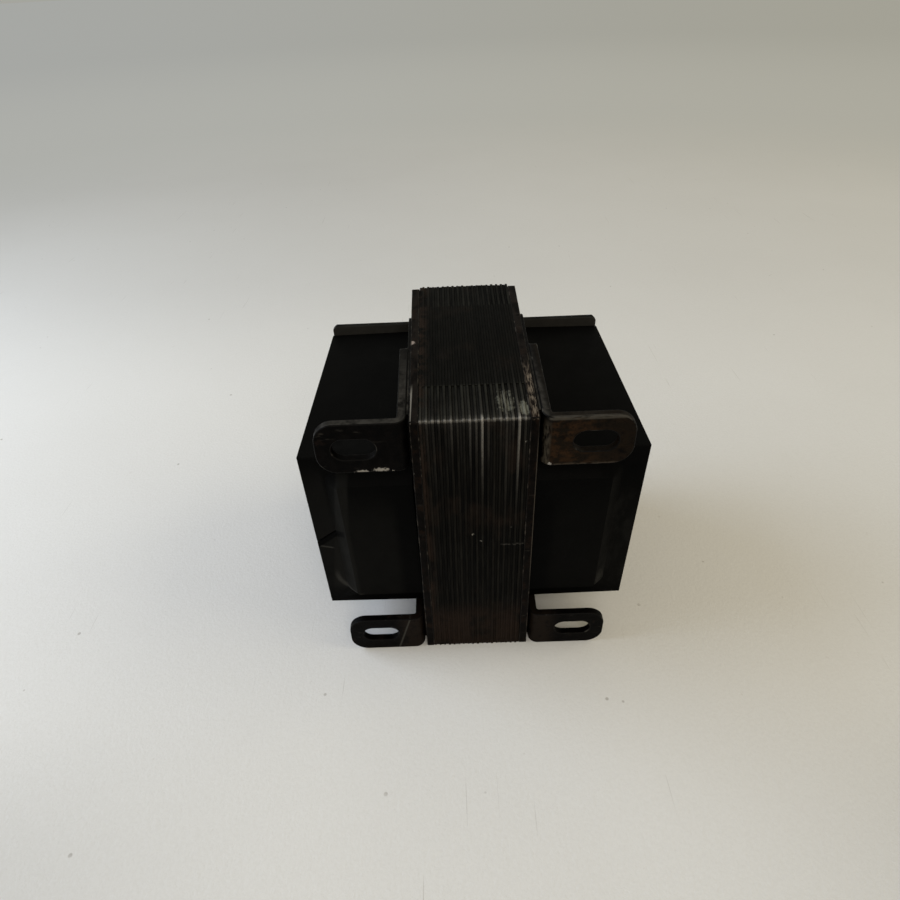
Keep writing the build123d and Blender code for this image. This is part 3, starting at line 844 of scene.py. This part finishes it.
LIGHTS = [
    ("window_far", (-1.3, 0.3, 0.9), (0.0, 0.0, 0.0), 1.0, (0.64, 0.78, 1.0), 8.9),
    ("window_near", (-0.42, 0.02, 0.22), (-0.05, 0.0, 0.0), 0.3, (0.79, 0.87, 1.0), 0.79),
    ("lamp_right", (1.3, 0.0, 0.9), (0.0, 0.0, 0.0), 1.0, (1.0, 0.91, 0.66), 6.0),
    ("lamp_front", (0.1, -0.8, 0.8), (0.0, 0.0, 0.0), 0.6, (1.0, 0.93, 0.87), 3.2),
]
for name, place, aim, size, colour, power in LIGHTS:
    lamp = bpy.data.lights.new(name, "AREA")
    lamp.size = size
    lamp.color = colour
    lamp.energy = power
    holder = bpy.data.objects.new(name, lamp)
    holder.location = place
    holder.rotation_euler = (Vector(aim) - Vector(place)).to_track_quat("-Z", "Y").to_euler()
    bpy.context.scene.collection.objects.link(holder)

# The room's own light, and the background where the camera sees past the floor
WORLD_LIGHT = (0.290, 0.268, 0.209)
BACKGROUND = (0.376, 0.374, 0.338)

world = bpy.data.worlds.new("room")
world.use_nodes = True
bpy.context.scene.world = world
background = world.node_tree.nodes["Background"]
background.inputs["Strength"].default_value = 1.0
sky = world.node_tree.nodes.new("ShaderNodeMix")
sky.data_type = "RGBA"
sky.inputs[COLOUR_A].default_value = (*WORLD_LIGHT, 1.0)
sky.inputs[COLOUR_B].default_value = (*BACKGROUND, 1.0)
world.node_tree.links.new(seen_directly(world.node_tree), sky.inputs[0])
world.node_tree.links.new(sky.outputs[COLOUR_OUT], background.inputs["Color"])


# Camera at the photograph's place, in the row frame

CAMERA_PLACE = Vector((-4.073, -129.625, 145.778)) * MM
CAMERA_YAW, CAMERA_PITCH, CAMERA_ROLL = -0.0101, 0.6786, -0.0437
FOCAL_PIXELS = 602.3
IMAGE_PIXELS = 900
SENSOR = 36.0
NEAREST_SEEN, FARTHEST_SEEN = 0.005, 40.0

camera_data = bpy.data.cameras.new("camera")
camera_data.sensor_width = SENSOR
camera_data.lens = FOCAL_PIXELS / IMAGE_PIXELS * SENSOR
camera_data.clip_start = NEAREST_SEEN
camera_data.clip_end = FARTHEST_SEEN
camera = bpy.data.objects.new("camera", camera_data)
ahead = Vector((math.sin(CAMERA_YAW) * math.cos(CAMERA_PITCH),
                math.cos(CAMERA_YAW) * math.cos(CAMERA_PITCH), -math.sin(CAMERA_PITCH)))
right = Vector((math.cos(CAMERA_YAW), -math.sin(CAMERA_YAW), 0))
up = right.cross(ahead)
across = right * math.cos(CAMERA_ROLL) + up * math.sin(CAMERA_ROLL)
upward = up * math.cos(CAMERA_ROLL) - right * math.sin(CAMERA_ROLL)
turn = Matrix((across, upward, -ahead)).transposed().to_4x4()
camera.matrix_world = Matrix.Translation(CAMERA_PLACE) @ turn
bpy.context.scene.collection.objects.link(camera)
bpy.context.scene.camera = camera

bpy.context.scene.view_settings.view_transform = "Standard"
